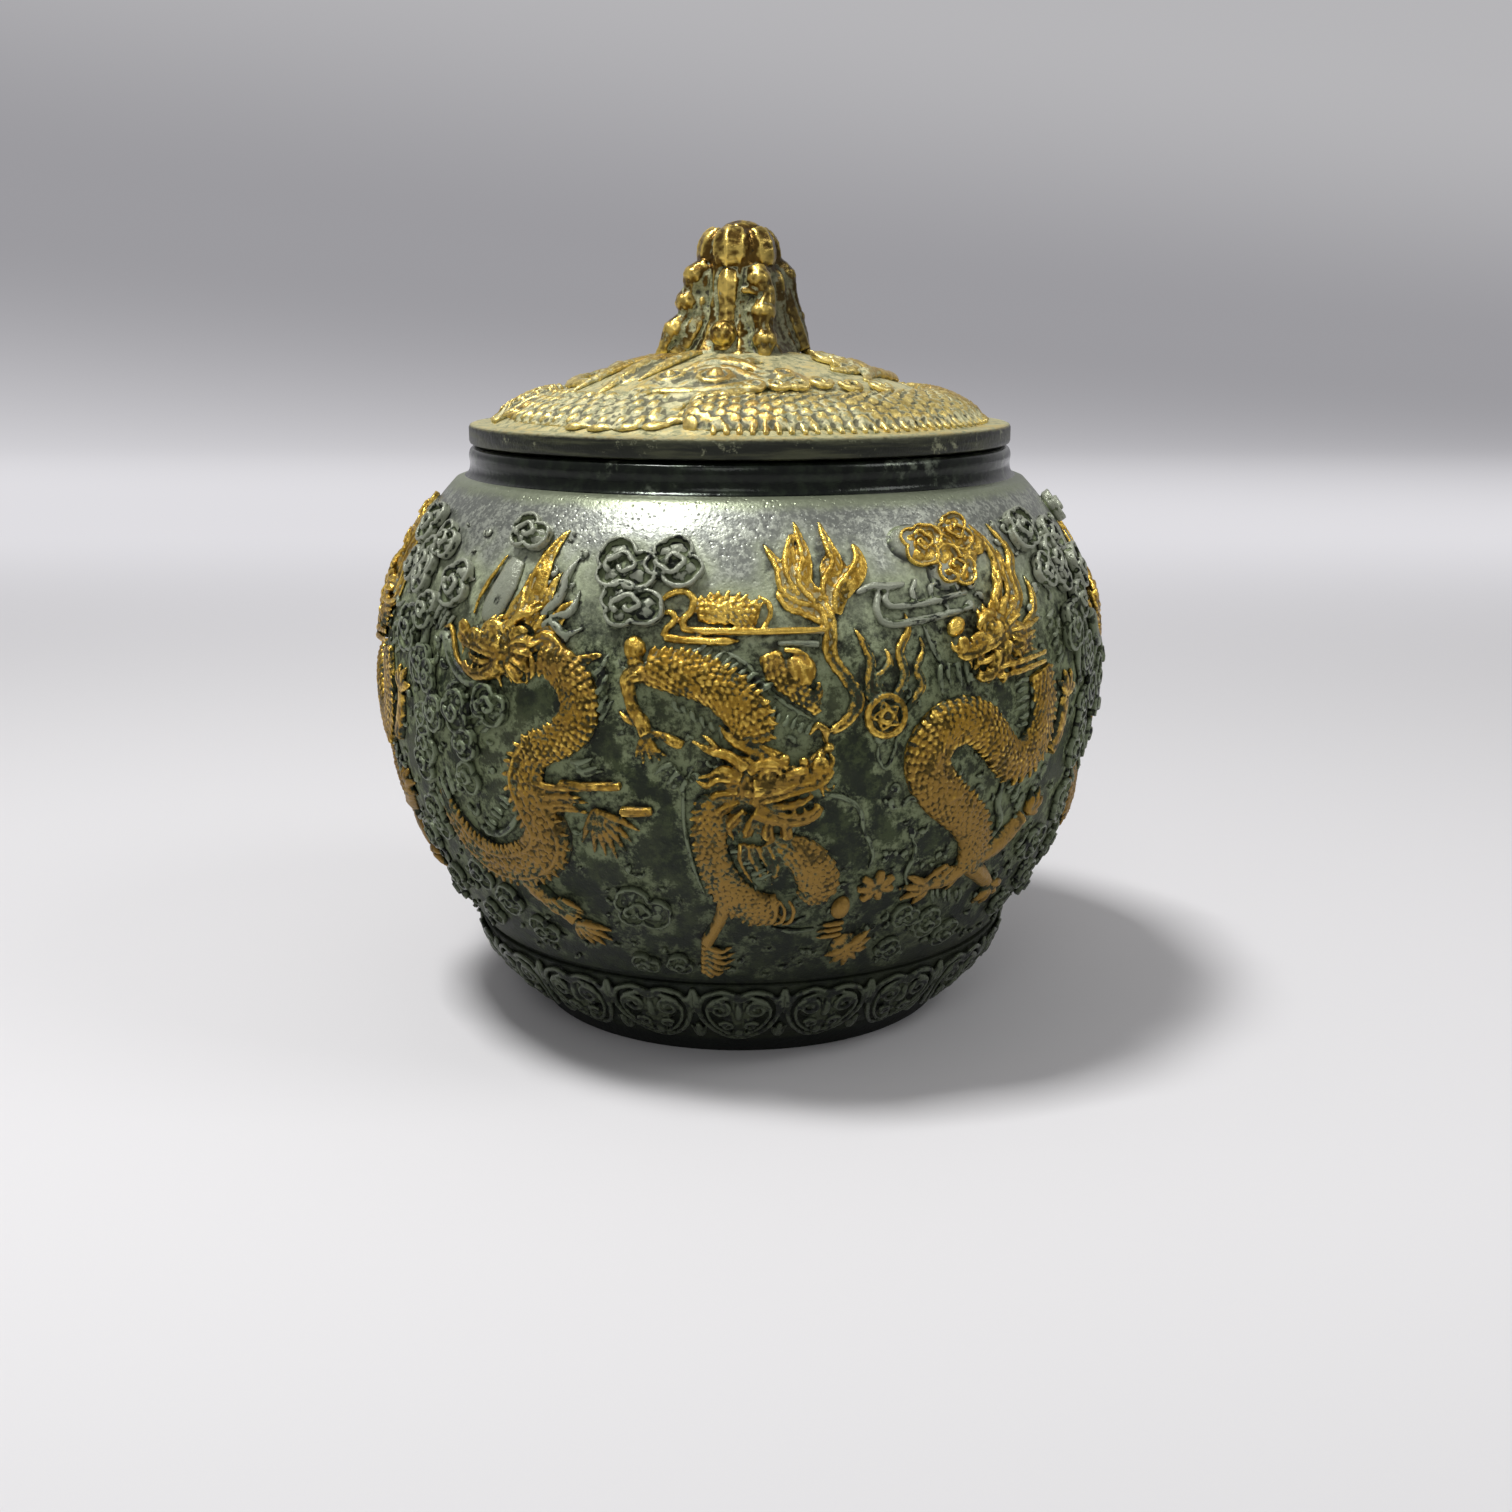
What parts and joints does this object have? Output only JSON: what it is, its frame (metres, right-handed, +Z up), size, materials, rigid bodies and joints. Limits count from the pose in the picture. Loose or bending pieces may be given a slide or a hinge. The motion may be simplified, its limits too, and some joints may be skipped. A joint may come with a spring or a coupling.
{
  "type": "covered jar",
  "caption": "Globular bronze covered jar with dragons, clouds and flaming pearls in relief, a petal band over the foot, and a low domed lid with a claw-shaped knob.",
  "frame": {"origin": "centre of the foot ring, on the surface that the jar stands on", "axes": "+Z up along the jar's axis; the front, with the diving dragon, faces -Y"},
  "size_m": [0.1807, 0.179, 0.1906],
  "materials": {
    "green_patina": "dark grey-green patina with pale verdigris in the hollows, satin",
    "worn_gilt": "worn gilding, brown in the hollows",
    "dark_bronze": "near-black rubbed bronze, glossy",
    "pale_verdigris": "pale green-cream verdigris over bronze, matt",
    "pale_gilt": "gilding rubbed over pale verdigris"
  },
  "bodies": {
    "jar": {"jar_body": "green_patina", "collar": "dark_bronze", "petal_band": "green_patina", "diving_dragon_1": "worn_gilt", "diving_dragon_2": "worn_gilt", "diving_dragon_3": "worn_gilt", "climbing_dragon_1": "worn_gilt", "climbing_dragon_2": "worn_gilt", "climbing_dragon_3": "worn_gilt", "coiling_dragon_1": "worn_gilt", "coiling_dragon_2": "worn_gilt", "coiling_dragon_3": "worn_gilt", "upper_clouds_1": "green_patina", "upper_clouds_2": "green_patina", "upper_clouds_3": "green_patina", "lower_clouds_1": "green_patina", "lower_clouds_2": "green_patina", "lower_clouds_3": "green_patina", "flaming_pearl_1": "worn_gilt", "flaming_pearl_2": "worn_gilt", "flaming_pearl_3": "worn_gilt"},
    "lid": {"lid_shell": "pale_verdigris", "locating_ring": "dark_bronze", "lid_dragon": "pale_gilt", "knob_core": "pale_gilt", "knob_digits": "pale_gilt", "knob_ball": "pale_gilt"}
  },
  "joints": [
    {"name": "lid_lift", "type": "slide", "parent": "jar", "child": "lid", "axis": [0, 0, 1], "range_m": [0, 0.08]}
  ]
}
